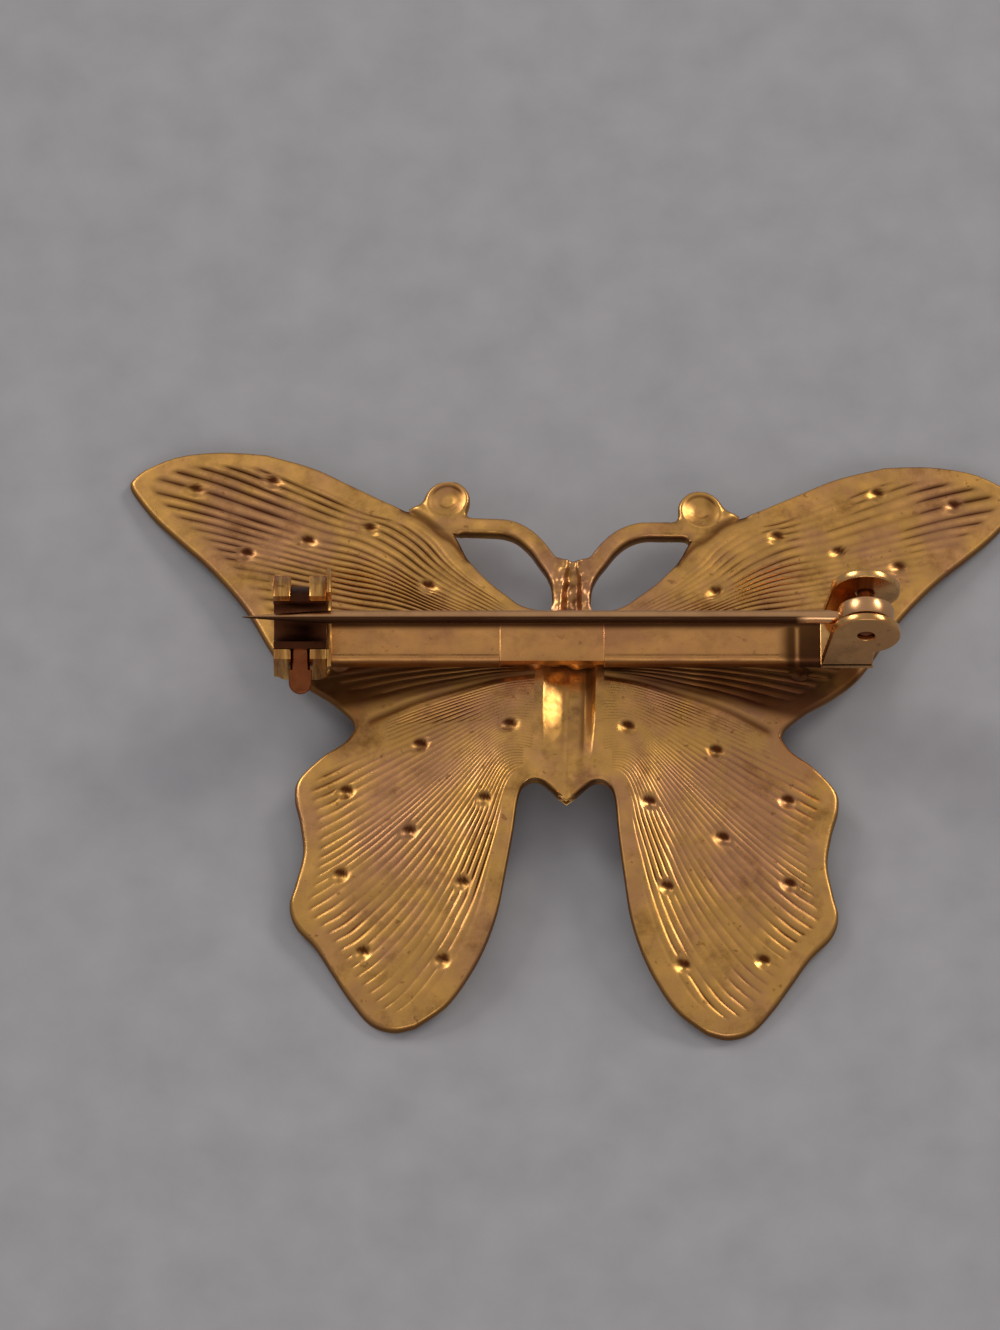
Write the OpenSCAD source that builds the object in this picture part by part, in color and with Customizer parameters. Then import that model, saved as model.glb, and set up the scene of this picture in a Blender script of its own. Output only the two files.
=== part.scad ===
// Butterfly brooch that lies on its face, with its pin back up.
// X runs along the pin bar, Y from the tails to the antennae, and the part rests on z = 0.

/* [Stamped sheet] */
// Span over both forewing tips
wing_span = 54.6; // [50:0.2:60]
// Length from the tails to the top of the forewings
sheet_len = 39.5; // [37:0.5:44]
// Thickness of the stamped sheet
sheet_t = 0.5; // [0.4:0.05:0.65]
// How far the forewing tips lie below the body
wing_drop = 3.3; // [2.8:0.1:4]
// How far the tails curve down below the slope of the wings
tail_bow = 2; // [1.2:0.1:2.4]
// Width of the smooth border along the wings' edges
border_w = 1.1; // [0.7:0.1:1.5]
// Height of the border above the ribbed field
border_h = 0.15; // [0.05:0.05:0.25]
// Height of a rib above the field
rib_h = 0.12; // [0.06:0.02:0.2]
// Ribs on a forewing
fore_ribs = 13; // [8:1:18]
// Ribs on a hindwing
hind_ribs = 20; // [14:1:28]
// Radius of a dimple at the back of the sheet
dimple_r = 0.5; // [0.35:0.05:0.6]
// Depth of a dimple
dimple_depth = 0.25; // [0.15:0.05:0.3]
// Turn of the sheet under the pin bar, in degrees
sheet_skew = 1.4; // [0:0.2:3]

/* [Body and antennae] */
// Width of the hollow of the abdomen
trough_w = 3.2; // [2.8:0.1:3.6]
// Depth of the hollow of the abdomen
trough_depth = 1.3; // [0.9:0.1:1.6]
// Width of an antenna's arm
arm_w = 1.2; // [0.9:0.1:1.5]
// Depth of the groove along the back of an arm
arm_groove = 0.2; // [0.1:0.05:0.3]
// Outer radius of the cupped ball at the end of an antenna
dome_r = 1.35; // [1.3:0.05:1.5]
// Height of the ball's rim above the back of the sheet
dome_rise = 0.1; // [0.05:0.05:0.3]
// Wall of the ball round its cup
dome_wall = 0.3; // [0.25:0.05:0.5]

/* [Pin bar] */
// Length of the bar from the catch's end to the hinge's end
bar_len = 36.4; // [34:0.1:38]
// Width of the bar
bar_w = 3; // [2.6:0.1:3.4]
// Thickness of the bar
bar_t = 0.45; // [0.35:0.05:0.6]
// Solder between the sheet and the bar
solder_t = 0.45; // [0.3:0.05:0.7]
// Length of the flat pad that is soldered down
pad_len = 6.4; // [5:0.1:8]
// Place of the pad's middle, left of the sheet's middle line
pad_shift = 1.1; // [0.6:0.1:1.6]
// How far the bar's long edges turn down beside the pad
edge_drop = 0.8; // [0.7:0.05:0.85]
// Place of the bar's left end, left of the sheet's middle line
bar_left = 18; // [17:0.1:19]
// Place of the bar's middle line, towards the antennae from the sheet's zero line
bar_y = 0.4; // [0:0.1:0.8]

/* [Catch] */
// Outer radius of the two C bands
band_r = 2.6; // [2.5:0.05:2.8]
// Wall of the bands
band_wall = 0.6; // [0.5:0.05:0.7]
// Width of each band along the bar
band_w = 1.06; // [0.9:0.02:1.3]
// Gap between the bands, where the lever moves
band_gap = 1.12; // [0.8:0.04:1.2]
// Radius of the thin flange at the catch's inner end
flange_r = 3.1; // [2.9:0.05:3.3]
// Thickness of that flange
flange_t = 0.25; // [0.2:0.05:0.35]
// Radial clearance of the rotor in the bands
rotor_play = 0.05; // [0.04:0.01:0.08]
// Wall of the rotor's sleeve
rotor_wall = 0.45; // [0.35:0.05:0.5]
// Reach of the lever from the rotor's middle line
lever_reach = 4.6; // [4.2:0.1:5]
// Thickness of the lever
lever_t = 0.55; // [0.45:0.05:0.65]
// Width of the lever's thumb plate
thumb_w = 1.4; // [1.2:0.1:1.8]
// Angle of the lever at rest, below the level of the rotor's middle line
lever_low = 25; // [15:1:28]

/* [Hinge and stem] */
// Height of the rivet's middle line above the bar
hinge_h = 3.5; // [3.35:0.05:3.7]
// Distance from the rivet to the bar's right end
hinge_inset = 0.5; // [0.3:0.1:1]
// Radius of the ears' round tops
ear_r = 2.1; // [1.9:0.05:2.3]
// Thickness of each ear
ear_t = 0.5; // [0.4:0.05:0.6]
// Space between the ears
ear_space = 2.5; // [2.3:0.1:2.8]
// Diameter of the rivet
rivet_d = 1; // [0.8:0.05:1.2]
// How deep the rivet's ends lie in the ears
rivet_sunk = 0.3; // [0.1:0.05:0.35]
// Diameter of the stem's round eye
eye_d = 3.4; // [3:0.1:3.6]
// Width of the eye along the rivet
eye_w = 1.1; // [0.9:0.1:1.3]
// Radial clearance of the eye on the rivet
eye_play = 0.05; // [0.04:0.01:0.08]
// Diameter of the stem's wire
stem_d = 0.8; // [0.7:0.02:0.86]
// Place of the stem beside the bar's middle line, towards the tails
stem_side = 0.4; // [0.3:0.05:0.45]
// How far the point stands out past the catch
stem_past = 1.9; // [1.4:0.1:2.4]
// Length of the tapered point
point_len = 5.6; // [5.5:0.1:6.2]

/* [Hidden] */

half = wing_span / 2;
overlap = 0.05;

// Outlines of the right-hand wings, as shares of the half span and of the sheet's length

// Leading edge from the head past the antenna's ball to the top of the forewing: x share, y share
LEADING = [[0.106, 0.086], [0.150, 0.110], [0.194, 0.139], [0.234, 0.175], [0.267, 0.218],
    [0.315, 0.251], [0.385, 0.268], [0.491, 0.309], [0.586, 0.346], [0.696, 0.374]];
// Forewing from its top round the tip to the notch: x share, y share
FORE_EDGE = [[0.696, 0.374], [0.799, 0.382], [0.894, 0.377], [0.960, 0.359], [0.990, 0.343],
    [1.000, 0.327], [0.974, 0.296], [0.938, 0.263], [0.883, 0.223], [0.828, 0.185],
    [0.777, 0.144], [0.722, 0.091], [0.674, 0.030], [0.637, -0.008], [0.586, -0.041],
    [0.527, -0.071], [0.484, -0.101], [0.476, -0.119]];
// Line between forewing and hindwing, from the body to the notch: x share, y share
DIVISION = [[0.158, -0.041], [0.245, -0.056], [0.319, -0.071], [0.392, -0.091], [0.476, -0.119]];
// Hindwing from the notch to the tail: x share, y share
HIND_EDGE = [[0.476, -0.119], [0.498, -0.142], [0.549, -0.167], [0.597, -0.203], [0.604, -0.235],
    [0.590, -0.278], [0.582, -0.329], [0.597, -0.380], [0.608, -0.413], [0.593, -0.446],
    [0.549, -0.481], [0.509, -0.524], [0.465, -0.570], [0.421, -0.605], [0.370, -0.618],
    [0.322, -0.613]];
// Inner edge of the hindwing from the tip of the abdomen to the tail: x share, y share
INNER = [[0.034, -0.230], [0.055, -0.219], [0.074, -0.216], [0.090, -0.220], [0.102, -0.232],
    [0.110, -0.257], [0.117, -0.304], [0.132, -0.375], [0.147, -0.435], [0.172, -0.489],
    [0.209, -0.539], [0.256, -0.582], [0.322, -0.613]];
// Dimples of a right-hand wing pair: x share, y share
DIMPLES = [[0.853, 0.314], [0.681, 0.324], [0.733, 0.197], [0.597, 0.215], [0.458, 0.233],
    [0.322, 0.127], [0.513, -0.005], [0.656, 0.142],
    [0.132, -0.122], [0.330, -0.152], [0.491, -0.228], [0.183, -0.248], [0.348, -0.299],
    [0.498, -0.367], [0.227, -0.387], [0.443, -0.494], [0.267, -0.511]];
// Middle line of an antenna's arm from the head past the ball to the wing: x share, y share
ARM = [[0.016, 0.090], [0.022, 0.122], [0.038, 0.146], [0.058, 0.168], [0.081, 0.192],
    [0.112, 0.214], [0.150, 0.227], [0.198, 0.231], [0.240, 0.234], [0.285, 0.241], [0.345, 0.258]];
// Middle of the antenna's ball: x share, y share
DOME = [0.285, 0.271];
// Hollow body from the head to the tip of the abdomen: y share, share of its half width, share of its depth
BODY = [[0.154, 0.20, 0.25], [0.137, 0.35, 0.55], [0.106, 0.38, 0.65], [0.076, 0.42, 0.70],
    [0.056, 0.62, 0.80], [0.032, 0.88, 0.95], [-0.03, 1.00, 1.00], [-0.10, 1.00, 1.00],
    [-0.175, 0.95, 0.85], [-0.205, 0.72, 0.55], [-0.230, 0.36, 0.30], [-0.248, 0.08, 0.10]];
// Where the wings join the body, as shares of the sheet's length: top, division and crotch
ROOT_TOP = 0.073;
ROOT_DIVISION = -0.035;
ROOT_CROTCH = -0.243;
// Where the tails start to curve down, as a share of the sheet's length
BOW_START = -0.10;
// Lowest place of the tail, x share and y share
TAIL_LOW = [0.421, -0.605];

// Mesh of the sheet: steps between two points of a table, places of the points along a rib as shares of its
// length, width of the step up to the border, steps round half the body, steps along an arm, and the share
// of the arm's length on both sides of a step that gives its direction
curve_steps = 5;
RIB_STOPS = [0, 0.04, 0.10, 0.17, 0.25, 0.35, 0.48, 0.64, 0.82, 1];
foot_w = 0.25;
arc_steps = 8;
arm_steps = 16;
arm_look = 0.02;
// Rows across a forewing, as shares of its width: end of the smooth edge, first rib and last rib
fore_smooth = 0.0525;
fore_first = 0.07;
fore_last = 0.98;
// Rows across a hindwing: first rib, last rib and start of the smooth inner edge
hind_first = 0.02;
hind_last = 0.96;
hind_smooth = 0.97;
// Radius of a dimple's floor as a share of its radius, and its number of sides
dimple_floor = 0.5;
dimple_sides = 8;
// Sides of an antenna's ball, and height of its cup's middle as a share of the rim's height
dome_sides = 16;
cup_over = 1.5;

// Sides of round parts: rims and bands, holes and small discs, and wires
round_sides = 64;
hole_sides = 48;
wire_sides = 32;

// Heights
function place(p) = [p.x * half, p.y * sheet_len];
function slope_drop(x) = wing_drop * abs(x) / half;
function bow_drop(y) = tail_bow * pow(max(0, BOW_START * sheet_len - y), 2)
    / pow((BOW_START - TAIL_LOW.y) * sheet_len, 2);
function drop(p) = slope_drop(p.x) + bow_drop(p.y);
edge_points = [for (p = concat(FORE_EDGE, HIND_EDGE)) place(p)];
dimple_points = [for (p = DIMPLES) place(p)];
deepest = max(concat([for (p = edge_points) drop(p)],
    [for (p = dimple_points) drop(p) + border_h + dimple_depth]));
body_z = sheet_t + deepest;
function sheet_z(p) = body_z - drop(p);

// Places of the pin bar's parts
bar_bottom = body_z + solder_t;
bar_top = bar_bottom + bar_t;
bar_right = bar_len - bar_left;
catch_x = -bar_left;
catch_z = bar_top + band_r;
bore_r = band_r - band_wall;
flange_x = catch_x + 2 * band_w + band_gap;
hinge_x = bar_right - hinge_inset;
hinge_z = bar_top + hinge_h;
stem_y = bar_y - stem_side;
pad_x = -pad_shift - pad_len / 2;

// The catch's opening: upper lip on the side away from the tails, angle of the lower lip from level
lip_gap = 0.1;
lip_y = stem_d / 2 - stem_side + lip_gap;
lower_lip = 188;

// Rotor and lever
rotor_side = 0.08;
rotor_r = bore_r - rotor_play;
rotor_mid = rotor_r - rotor_wall / 2;
thumb_gap = 0.12;
thumb_from = (band_r + lever_t / 2 * sin(lever_low)) / cos(lever_low) + thumb_gap;

// Ears: how far the foot stands out past the round top on the catch's side
foot_out = 0.6;

// Rivet and stem: clearance of the rivet in the ears, thicker root from outside the ears, and the point
rivet_gap = 0.02;
rivet_hole_r = rivet_d / 2 + rivet_gap;
eye_hole_r = rivet_d / 2 + eye_play;
ear_gap = 0.4;
root_share = 0.65;
root_x = hinge_x - ear_r - ear_gap;
root_r = stem_d * root_share;
point_x = catch_x - stem_past;
taper_x = point_x + point_len;
point_r = 0.02;

// The middle of the box round the whole part
top_point = place(FORE_EDGE[1]);
tail_point = place(HIND_EDGE[14]);
tip_point = place(FORE_EDGE[5]);
centre = [tip_point.y * sin(sheet_skew),
    (top_point.y + tail_point.y) / 2 * cos(sheet_skew) + (top_point.x - tail_point.x) / 2 * sin(sheet_skew)];

// Curves
function spline(a, b, c, d, t) = 0.5 * (2 * b + (c - a) * t + (2 * a - 5 * b + 4 * c - d) * t * t
    + (3 * b - a - 3 * c + d) * t * t * t);
function smooth(p) = [
    for (i = [0:len(p) - 2], k = [0:curve_steps - 1])
        spline(p[max(i - 1, 0)], p[i], p[i + 1], p[min(i + 2, len(p) - 1)], k / curve_steps),
    p[len(p) - 1]];
function lengths(p) = [for (i = 0, s = 0; i < len(p);
    s = s + (i + 1 < len(p) ? norm(p[i + 1] - p[i]) : 0), i = i + 1) s];
// A curve that is read by the share of its length: table for x, table for y
function curve(p) = let (s = smooth(p), l = lengths(s), n = len(s) - 1)
    [[for (i = [0:n]) [l[i] / l[n], s[i].x]], [for (i = [0:n]) [l[i] / l[n], s[i].y]]];
function along(c, t) = [lookup(t, c[0]), lookup(t, c[1])];

// Body
function body_half(y) = trough_w / 2 * lookup(y / sheet_len, [for (b = BODY) [b[0], b[1]]]);
function root_point(share) = [body_half(share * sheet_len) + sheet_t / 2, share * sheet_len];

// Edges of the two wings as curves
function placed(table) = [for (p = table) place(p)];
leading = curve(concat([root_point(ROOT_TOP)], placed(LEADING)));
division = curve(concat([root_point(ROOT_DIVISION)], placed(DIVISION)));
inner = curve(concat([root_point(ROOT_CROTCH)], placed(INNER)));
fore_edge = curve(placed(FORE_EDGE));
hind_edge = curve(placed(HIND_EDGE));

// A point of a wing between two long edges a and b, its root and its outer edge:
// u runs from the body to the outer edge, v from edge a to edge b
function wing_point(a, b, root_a, root_b, outer, u, v) =
    let (root = root_point(root_a + (root_b - root_a) * v))
    (1 - v) * along(a, u) + v * along(b, u) + (1 - u) * root + u * along(outer, v)
        - (1 - u) * (1 - v) * along(a, 0) - u * (1 - v) * along(a, 1)
        - (1 - u) * v * along(b, 0) - u * v * along(b, 1);
function fore_point(u, v) = wing_point(leading, division, ROOT_TOP, ROOT_DIVISION, fore_edge, u, v);
function hind_point(u, v) = wing_point(division, inner, ROOT_DIVISION, ROOT_CROTCH, hind_edge, u, v);

// Rows across a wing: place between the long edges, and height over the field
function ribbed(first, last, ribs) = [
    for (i = [0:2 * ribs]) [first + (last - first) * i / (2 * ribs), i % 2 * rib_h]];
fore_rows = concat([[0, border_h], [fore_smooth, border_h]], ribbed(fore_first, fore_last, fore_ribs));
hind_rows = concat(ribbed(hind_first, hind_last, hind_ribs), [[hind_smooth, border_h], [1, border_h]]);

// Places along a row: share of the row's length, and whether the border's height holds there
function row_stops(reach) = let (foot = 1 - border_w / reach) concat(
    [for (s = RIB_STOPS) [foot * s, false]],
    [[foot + foot_w / reach, true], [1, true]]);
function lifted(p, height) = [p.x, p.y, sheet_z(p) - border_h + height];
function fore_row(row) = let (reach = norm(fore_point(1, row[0]) - fore_point(0, row[0])))
    [for (s = row_stops(reach)) lifted(fore_point(s[0], row[0]), s[1] ? border_h : row[1])];
function hind_row(row) = let (reach = norm(hind_point(1, row[0]) - hind_point(0, row[0])))
    [for (s = row_stops(reach)) lifted(hind_point(s[0], row[0]), s[1] ? border_h : row[1])];

// A sheet of even thickness under a grid of points
module sheet_of(grid) {
    rows = len(grid);
    cols = len(grid[0]);
    count = rows * cols;
    tops = [for (row = grid, p = row) p];
    bottoms = [for (p = tops) p - [0, 0, sheet_t]];
    skin = [for (r = [0:rows - 2], c = [0:cols - 2]) let (i = r * cols + c)
        each [[i, i + 1, i + cols + 1], [i, i + cols + 1, i + cols]]];
    under = [for (f = skin) [f[0] + count, f[2] + count, f[1] + count]];
    rim = concat([for (c = [0:cols - 2]) c], [for (r = [0:rows - 2]) r * cols + cols - 1],
        [for (c = [cols - 1:-1:1]) (rows - 1) * cols + c], [for (r = [rows - 1:-1:1]) r * cols]);
    walls = [for (i = [0:len(rim) - 1]) let (a = rim[i], b = rim[(i + 1) % len(rim)])
        each [[a, a + count, b + count], [a, b + count, b]]];
    polyhedron(concat(tops, bottoms), concat(skin, under, walls));
}

module right_wings() {
    sheet_of(concat([for (row = fore_rows) fore_row(row)], [for (row = hind_rows) hind_row(row)]));
}

// A closed tube through sections with the same number of points
module loft(sections) {
    n = len(sections[0]);
    last = (len(sections) - 1) * n;
    sides = [for (s = [0:len(sections) - 2], i = [0:n - 1]) let (j = (i + 1) % n, a = s * n)
        each [[a + i, a + n + i, a + n + j], [a + i, a + n + j, a + j]]];
    ends = [[for (i = [0:n - 1]) i], [for (i = [n - 1:-1:0]) last + i]];
    polyhedron([for (s = sections, p = s) p], concat(sides, ends));
}

// The body's form with a wall round its hollow, up to a height over the back of the sheet
module body_form(wall, above) {
    loft([for (b = BODY) let (y = b[0] * sheet_len, w = b[1] * trough_w / 2 + wall,
        d = b[2] * trough_depth + wall, z = sheet_z([0, y])) concat(
            [[-w, y, z + above]],
            [for (i = [0:arc_steps]) let (a = 180 * i / arc_steps) [-w * cos(a), y, z - d * sin(a)]],
            [[w, y, z + above]])]);
}

// Section of an antenna's arm at a point that heads along a direction
function arm_section(p, way) = let (side = [-way.y, way.x] / norm(way) * arm_w / 2, z = sheet_z(p)) [
    [p.x + side.x, p.y + side.y, z], [p.x, p.y, z - arm_groove], [p.x - side.x, p.y - side.y, z],
    [p.x - side.x, p.y - side.y, z - sheet_t], [p.x, p.y, z - sheet_t - arm_groove],
    [p.x + side.x, p.y + side.y, z - sheet_t]];

module right_arm() {
    c = curve(placed(ARM));
    loft([for (i = [0:arm_steps]) let (t = i / arm_steps, p = along(c, t))
        arm_section(p, along(c, min(t + arm_look, 1)) - along(c, max(t - arm_look, 0)))]);
}

// The ball at the end of an antenna, cut off flat over the back of the sheet
module right_dome() {
    p = place(DOME);
    translate([p.x, p.y, sheet_z(p)])
        rotate_extrude($fn = dome_sides)
            intersection() {
                circle(dome_r, $fn = dome_sides);
                translate([0, -dome_r])
                    square([dome_r, dome_r + dome_rise]);
            }
}

// The cup in that ball, a round hollow whose middle lies over the rim
module right_dome_hollow() {
    p = place(DOME);
    translate([p.x, p.y, sheet_z(p) + cup_over * dome_rise])
        sphere(dome_r - dome_wall, $fn = dome_sides);
}

// Cones, whose small ends lie a dimple's depth below the field
module dimple_cones() {
    for (p = dimple_points)
        translate([p.x, p.y, sheet_z(p) - border_h - dimple_depth])
            rotate(180 / dimple_sides)
                cylinder(2 * dimple_depth, dimple_r * dimple_floor, dimple_r * (2 - dimple_floor),
                    $fn = dimple_sides);
}

module right_half() {
    difference() {
        union() {
            right_wings();
            right_arm();
            right_dome();
        }
        dimple_cones();
        right_dome_hollow();
    }
}

// Solder that fills the space between the sheet and the bar's pad
module solder() {
    translate([pad_x, bar_y - bar_w / 2 + bar_t, body_z - sheet_t - border_h])
        cube([pad_len, bar_w - 2 * bar_t, sheet_t + border_h + solder_t]);
}

module stamped_sheet() {
    resize([wing_span, 0, 0])
        union() {
            difference() {
                union() {
                    right_half();
                    mirror([1, 0, 0])
                        right_half();
                    body_form(sheet_t, 0);
                }
                body_form(0, sheet_t);
            }
            rotate(sheet_skew)
                solder();
        }
}

// Cross-section of the bar beside its pad, with the edges turned down
module bar_section() {
    w = bar_w / 2;
    bend = bar_t / 2;
    polygon([[-w, -edge_drop], [-w, -bend], [bend - w, 0], [w - bend, 0], [w, -bend], [w, -edge_drop],
        [w - bar_t, -edge_drop], [w - bar_t, -bar_t], [bar_t - w, -bar_t], [bar_t - w, -edge_drop]]);
}

// Turns a flat shape in Y and Z into a solid that runs along X
module along_x(x, length) {
    translate([x, 0, 0])
        rotate([90, 0, 90])
            linear_extrude(length)
                children();
}

module bar() {
    translate([0, bar_y, bar_top]) {
        along_x(catch_x, bar_len)
            bar_section();
        along_x(pad_x, pad_len)
            translate([-bar_w / 2, -bar_t - overlap])
                square([bar_w, bar_t + overlap]);
    }
}

// Opening of the catch and of the open rotor, round their shared middle line
module opening(reach) {
    polygon([[lip_y, 0], [lip_y, reach], [-reach, reach], [reach * cos(lower_lip), reach * sin(lower_lip)],
        [0, 0]]);
}

module band_section(r) {
    difference() {
        union() {
            circle(r, $fn = round_sides);
            translate([-band_r, -band_r])
                square([2 * band_r, band_r]);
        }
        circle(bore_r, $fn = round_sides);
        opening(2 * r);
        translate([-2 * r, -2 * r - band_r])
            square([4 * r, 2 * r]);
    }
}

module catch_bands() {
    translate([0, bar_y, catch_z]) {
        along_x(catch_x, band_w)
            band_section(band_r);
        along_x(catch_x + band_w + band_gap, band_w)
            band_section(band_r);
        along_x(flange_x, flange_t)
            band_section(flange_r);
    }
    translate([catch_x, bar_y - band_r, bar_bottom])
        cube([2 * band_w + band_gap + flange_t, 2 * band_r, bar_t + overlap]);
}

module ear(y) {
    translate([hinge_x, y, hinge_z])
        rotate([-90, 0, 0])
            difference() {
                union() {
                    cylinder(ear_t, ear_r, ear_r, $fn = round_sides);
                    linear_extrude(ear_t)
                        polygon([[-ear_r, 0], [0, 0], [hinge_inset, ear_r / 2],
                            [hinge_inset, hinge_h + bar_t / 2], [-ear_r - foot_out, hinge_h + bar_t / 2]]);
                }
                translate([0, 0, -overlap])
                    cylinder(ear_t + 2 * overlap, rivet_hole_r, rivet_hole_r, $fn = hole_sides);
            }
}

module ears() {
    ear(bar_y - ear_space / 2 - ear_t);
    ear(bar_y + ear_space / 2);
    translate([hinge_x - ear_r - foot_out, bar_y - ear_space / 2 - ear_t, bar_bottom])
        cube([ear_r + foot_out + hinge_inset, ear_space + 2 * ear_t, bar_t]);
}

module pin_back() {
    bar();
    catch_bands();
    ears();
}

module butterfly() {
    color("darkgoldenrod")
        in_frame()
            union() {
                rotate(-sheet_skew)
                    stamped_sheet();
                pin_back();
            }
}

// Moves the part so that the middle of its box stands on the origin
module in_frame() {
    translate([-centre.x, -centre.y, 0])
        children();
}

module lever() {
    rotate([lever_low, 0, 0]) {
        translate([band_w + rotor_side, -lever_reach + thumb_w / 2, -lever_t / 2])
            cube([band_gap - 2 * rotor_side, lever_reach - thumb_w / 2 - rotor_mid, lever_t]);
        translate([band_w + band_gap / 2, -lever_reach + thumb_w / 2, -lever_t / 2]) {
            cylinder(lever_t, thumb_w / 2, thumb_w / 2, $fn = hole_sides);
            translate([-thumb_w / 2, 0, 0])
                cube([thumb_w, lever_reach - thumb_w / 2 - thumb_from, lever_t]);
        }
    }
}

module catch_rotor() {
    color("goldenrod")
        in_frame()
            translate([catch_x, bar_y, catch_z]) {
                along_x(0, 2 * band_w + band_gap)
                    difference() {
                        circle(rotor_r, $fn = round_sides);
                        circle(rotor_r - rotor_wall, $fn = round_sides);
                        opening(2 * rotor_r);
                    }
                lever();
            }
}

module pin_stem() {
    eye_r = eye_d / 2;
    root_end = hinge_x - rivet_d;
    color("gold")
        in_frame()
            difference() {
                union() {
                    translate([hinge_x, stem_y - eye_w / 2, hinge_z])
                        rotate([-90, 0, 0])
                            cylinder(eye_w, eye_r, eye_r, $fn = round_sides);
                    translate([0, stem_y, hinge_z])
                        rotate([0, 90, 0])
                            rotate_extrude($fn = wire_sides)
                                polygon([[0, point_x], [point_r, point_x], [stem_d / 2, taper_x],
                                    [stem_d / 2, root_x], [root_r, root_end], [0, root_end]]);
                }
                translate([hinge_x, stem_y - eye_w, hinge_z])
                    rotate([-90, 0, 0])
                        cylinder(2 * eye_w, eye_hole_r, eye_hole_r, $fn = hole_sides);
            }
}

module hinge_rivet() {
    reach = ear_space + 2 * ear_t - 2 * rivet_sunk;
    color("saddlebrown")
        in_frame()
            translate([hinge_x, bar_y - reach / 2, hinge_z])
                rotate([-90, 0, 0])
                    cylinder(reach, rivet_d / 2, rivet_d / 2, $fn = hole_sides);
}

butterfly();
catch_rotor();
pin_stem();
hinge_rivet();
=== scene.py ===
"""Looks of a stamped butterfly brooch that lies on its face: sheet, pin back, floor, light and camera."""

import math

import bpy
import numpy as np
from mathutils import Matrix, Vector, noise


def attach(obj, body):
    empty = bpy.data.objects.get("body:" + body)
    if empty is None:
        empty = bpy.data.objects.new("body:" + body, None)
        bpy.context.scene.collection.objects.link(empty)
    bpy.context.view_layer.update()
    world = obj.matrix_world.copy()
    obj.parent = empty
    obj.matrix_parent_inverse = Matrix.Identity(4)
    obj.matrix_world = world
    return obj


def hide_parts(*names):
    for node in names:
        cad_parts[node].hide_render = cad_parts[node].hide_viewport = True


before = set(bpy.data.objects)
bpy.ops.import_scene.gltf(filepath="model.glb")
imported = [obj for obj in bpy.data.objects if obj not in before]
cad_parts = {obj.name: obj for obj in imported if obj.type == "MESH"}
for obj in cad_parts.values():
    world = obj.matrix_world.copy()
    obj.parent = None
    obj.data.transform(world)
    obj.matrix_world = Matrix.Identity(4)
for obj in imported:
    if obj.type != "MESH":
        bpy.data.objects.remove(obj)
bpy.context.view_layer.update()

MM = 0.001

# Sizes in millimetres: first the sheet
HALF = 27.3
LENGTH = 39.5
SHEET_T = 0.5
WING_DROP = 3.3
TAIL_BOW = 2.0
BOW_START = -0.10
TAIL_Y = -0.605
BODY_Z = 3.8893
BORDER_W = 1.1
BORDER_H = 0.15
GROOVE = 0.11
DIMPLE_R = 0.52
DIMPLE_DEPTH = 0.25
CUP_DEPTH = 0.19
END_REACH = 2.15
ROUND_EDGE = 0.22
GRID_STEP = 0.07
SKEW = math.radians(1.4)
CENTRE = np.array([0.315578, -4.51654, 0.0])
TROUGH_W = 3.2
TROUGH_DEPTH = 0.7
ARM_W = 1.06
DOME_R = 1.4

# Pin back: its bar, catch, hinge and wire
BAR_X = (-18.0, 18.4)
BAR_Y = 0.4
BAR_W = 3.0
BAR_T = 0.45
BAR_TOP = 4.7893
EDGE_DROP = 0.8
PAD_X = (-4.3, 2.1)
CATCH_Z = 7.3893
BAND_R = 2.6
BORE_R = 2.0
BAND_W = 1.06
BAND_GAP = 1.12
FLANGE_R = 3.1
FLANGE_T = 0.25
ROTOR_R = 1.95
ROTOR_WALL = 0.45
LIP_Y = 0.1
LOWER_LIP = 188
LEVER_LOW = 25
LEVER_REACH = 4.6
LEVER_T = 0.55
THUMB_W = 1.4
HINGE_X = 17.9
HINGE_Z = 8.2893
EAR_R = 2.1
EAR_T = 0.5
FOOT_OUT = 0.6
EAR_SPACE = 2.5
RIVET_R = 0.5
EYE_R = 1.7
EYE_W = 1.1
STEM_Y = 0.0
STEM_R = 0.4
ROOT_X = 15.4
TAPER_X = -14.3
POINT_X = -19.9

# Outlines of a right-hand wing pair: shares of the half span and of the sheet's length
LEADING = [(0.106, 0.086), (0.150, 0.110), (0.194, 0.139), (0.234, 0.175), (0.267, 0.218),
           (0.315, 0.251), (0.385, 0.268), (0.491, 0.309), (0.586, 0.346), (0.696, 0.374)]
FORE_EDGE = [(0.696, 0.374), (0.799, 0.382), (0.894, 0.377), (0.960, 0.359), (0.990, 0.343),
             (1.000, 0.327), (0.974, 0.296), (0.938, 0.263), (0.883, 0.223), (0.828, 0.185),
             (0.777, 0.144), (0.722, 0.091), (0.674, 0.030), (0.637, -0.008), (0.586, -0.041),
             (0.527, -0.071), (0.484, -0.101), (0.476, -0.119)]
DIVISION = [(0.158, -0.041), (0.245, -0.056), (0.319, -0.071), (0.392, -0.091), (0.476, -0.119)]
HIND_EDGE = [(0.476, -0.119), (0.498, -0.142), (0.549, -0.167), (0.597, -0.203), (0.604, -0.235),
             (0.590, -0.278), (0.582, -0.329), (0.597, -0.380), (0.608, -0.413), (0.593, -0.446),
             (0.549, -0.481), (0.509, -0.524), (0.465, -0.570), (0.421, -0.605), (0.370, -0.618),
             (0.322, -0.613)]
INNER = [(0.034, -0.230), (0.055, -0.219), (0.074, -0.216), (0.090, -0.220), (0.102, -0.232),
         (0.110, -0.257), (0.117, -0.304), (0.132, -0.375), (0.147, -0.435), (0.172, -0.489),
         (0.209, -0.539), (0.256, -0.582), (0.322, -0.613)]
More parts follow.
